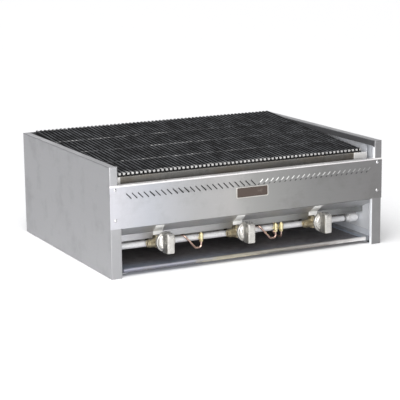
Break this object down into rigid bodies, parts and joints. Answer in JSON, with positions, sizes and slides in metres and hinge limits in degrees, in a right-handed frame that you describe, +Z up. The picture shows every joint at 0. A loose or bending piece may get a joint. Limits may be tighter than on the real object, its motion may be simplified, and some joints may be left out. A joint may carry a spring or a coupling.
{
  "type": "countertop charbroiler grill",
  "caption": "Countertop gas charbroiler with sloping lift-out cast grates, louvred front panel, valve knobs under it and a slide-out drip tray.",
  "frame": {"origin": "at counter level, under the middle of the overall width and length", "axes": "+X to the right seen from the front, +Y from the front to the back, +Z up"},
  "size_m": [0.914, 0.7274, 0.3359],
  "materials": {
    "cabinet_steel": "satin folded stainless sheet",
    "panel_steel": "brushed stainless sheet",
    "liner_steel": "stainless liner sheet, heat tinted",
    "rail_steel": "steel sheet browned by heat",
    "tab_steel": "bright stainless",
    "deflector_steel": "bright-rolled stainless",
    "badge_enamel": "dark enamel, plain",
    "badge_bright": "polished rim",
    "screw_steel": "bright dome heads",
    "grate_iron": "oiled black cast iron",
    "radiant_steel": "heavy steel, heat scaled",
    "burner_iron": "raw sand-cast iron",
    "support_steel": "mill finish",
    "shutter_steel": "zinc plated",
    "brass": "machined brass",
    "stem_steel": "turned steel",
    "knob_metal": "polished cast metal",
    "copper_tube": "drawn copper tube",
    "tip_steel": "turned steel",
    "pipe_steel": "bright plated steel pipe",
    "fitting_iron": "galvanised malleable iron",
    "strap_steel": "zinc plated strap",
    "tray_steel": "steel tray, baked dark",
    "runner_steel": "stainless angle"
  },
  "bodies": {
    "cabinet": {"side_panel_left": "cabinet_steel", "side_panel_right": "cabinet_steel", "back_panel": "cabinet_steel", "front_panel": "panel_steel", "badge_plate": "badge_enamel", "badge_rim": "badge_bright", "panel_screws": "screw_steel", "heat_deflector": "deflector_steel", "firebox_front": "rail_steel", "firebox_rear": "rail_steel", "firebox_liner_left": "liner_steel", "firebox_liner_right": "liner_steel", "rail_tabs": "tab_steel", "burner_support_front": "support_steel", "burner_support_rear": "support_steel", "manifold_pipe": "pipe_steel", "supply_pipe": "pipe_steel", "manifold_cap": "fitting_iron", "manifold_elbow": "fitting_iron", "gas_inlet": "fitting_iron", "manifold_hangers": "strap_steel", "tray_runner_left": "runner_steel", "tray_runner_right": "runner_steel", "radiant_1": "radiant_steel", "radiant_2": "radiant_steel", "radiant_3": "radiant_steel", "burner_1": "burner_iron", "burner_2": "burner_iron", "burner_3": "burner_iron", "orifice_hood_1": "brass", "orifice_hood_2": "brass", "orifice_hood_3": "brass", "gas_valve_1": "brass", "gas_valve_2": "brass", "gas_valve_3": "brass", "pilot_valve_1": "brass", "pilot_valve_2": "brass", "pilot_valve_3": "brass", "pilot_tube_1": "copper_tube", "pilot_tube_2": "copper_tube", "pilot_tube_3": "copper_tube", "pilot_tip_1": "tip_steel", "pilot_tip_2": "tip_steel", "pilot_tip_3": "tip_steel"},
    "drip_tray": {"drip_tray": "tray_steel"},
    "grate_1": {"grate_1": "grate_iron"},
    "grate_2": {"grate_2": "grate_iron"},
    "grate_3": {"grate_3": "grate_iron"},
    "grate_4": {"grate_4": "grate_iron"},
    "grate_5": {"grate_5": "grate_iron"},
    "grate_6": {"grate_6": "grate_iron"},
    "knob_1": {"knob_1": "knob_metal", "valve_stem_1": "stem_steel"},
    "air_shutter_1": {"air_shutter_1": "shutter_steel"},
    "knob_2": {"knob_2": "knob_metal", "valve_stem_2": "stem_steel"},
    "air_shutter_2": {"air_shutter_2": "shutter_steel"},
    "knob_3": {"knob_3": "knob_metal", "valve_stem_3": "stem_steel"},
    "air_shutter_3": {"air_shutter_3": "shutter_steel"}
  },
  "joints": [
    {"name": "tray_slide", "type": "slide", "parent": "cabinet", "child": "drip_tray", "axis": [0, -1, 0], "range_m": [0, 0.42]},
    {"name": "grate_1_lift", "type": "slide", "parent": "cabinet", "child": "grate_1", "axis": [0, 0, 1], "range_m": [0, 0.15]},
    {"name": "grate_2_lift", "type": "slide", "parent": "cabinet", "child": "grate_2", "axis": [0, 0, 1], "range_m": [0, 0.15]},
    {"name": "grate_3_lift", "type": "slide", "parent": "cabinet", "child": "grate_3", "axis": [0, 0, 1], "range_m": [0, 0.15]},
    {"name": "grate_4_lift", "type": "slide", "parent": "cabinet", "child": "grate_4", "axis": [0, 0, 1], "range_m": [0, 0.15]},
    {"name": "grate_5_lift", "type": "slide", "parent": "cabinet", "child": "grate_5", "axis": [0, 0, 1], "range_m": [0, 0.15]},
    {"name": "grate_6_lift", "type": "slide", "parent": "cabinet", "child": "grate_6", "axis": [0, 0, 1], "range_m": [0, 0.15]},
    {"name": "knob_1_turn", "type": "hinge", "parent": "cabinet", "child": "knob_1", "pos_m": [-0.267, -0.3173, 0.082], "axis": [0, -1, 0], "range_deg": [0, 90]},
    {"name": "air_shutter_1_turn", "type": "hinge", "parent": "cabinet", "child": "air_shutter_1", "pos_m": [-0.267, -0.1883, 0.082], "axis": [0, -1, 0], "range_deg": [0, 45]},
    {"name": "knob_2_turn", "type": "hinge", "parent": "cabinet", "child": "knob_2", "pos_m": [0, -0.3173, 0.082], "axis": [0, -1, 0], "range_deg": [0, 90]},
    {"name": "air_shutter_2_turn", "type": "hinge", "parent": "cabinet", "child": "air_shutter_2", "pos_m": [0, -0.1883, 0.082], "axis": [0, -1, 0], "range_deg": [0, 45]},
    {"name": "knob_3_turn", "type": "hinge", "parent": "cabinet", "child": "knob_3", "pos_m": [0.267, -0.3173, 0.082], "axis": [0, -1, 0], "range_deg": [0, 90]},
    {"name": "air_shutter_3_turn", "type": "hinge", "parent": "cabinet", "child": "air_shutter_3", "pos_m": [0.267, -0.1883, 0.082], "axis": [0, -1, 0], "range_deg": [0, 45]}
  ]
}
